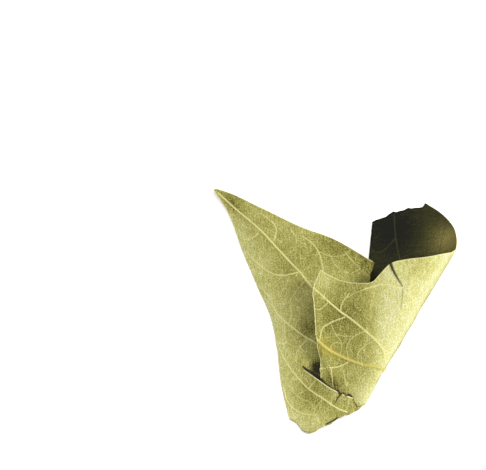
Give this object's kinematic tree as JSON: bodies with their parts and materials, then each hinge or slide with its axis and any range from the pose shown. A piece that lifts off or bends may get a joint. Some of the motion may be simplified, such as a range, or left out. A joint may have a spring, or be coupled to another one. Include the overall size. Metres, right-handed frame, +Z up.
{
  "type": "avocado leaf",
  "caption": "Dried avocado leaf lying underside up: a pointed blade, broken across, with its stalk half slid over it and curled under into an open cone-shaped roll.",
  "frame": {"origin": "on the surface that the leaf lies on, under the middle of its bounding box", "axes": "+Z up from the surface, +Y towards the roll's open mouth and the leaf's tip, +X towards the rolled side"},
  "size_m": [0.078, 0.0866, 0.0184],
  "materials": {
    "leaf_lamina": "matte dried leaf, pale olive underside with fine raised veins, dark olive upper side"
  },
  "bodies": {
    "root": {"avocado_leaf": "leaf_lamina"}
  },
  "joints": []
}
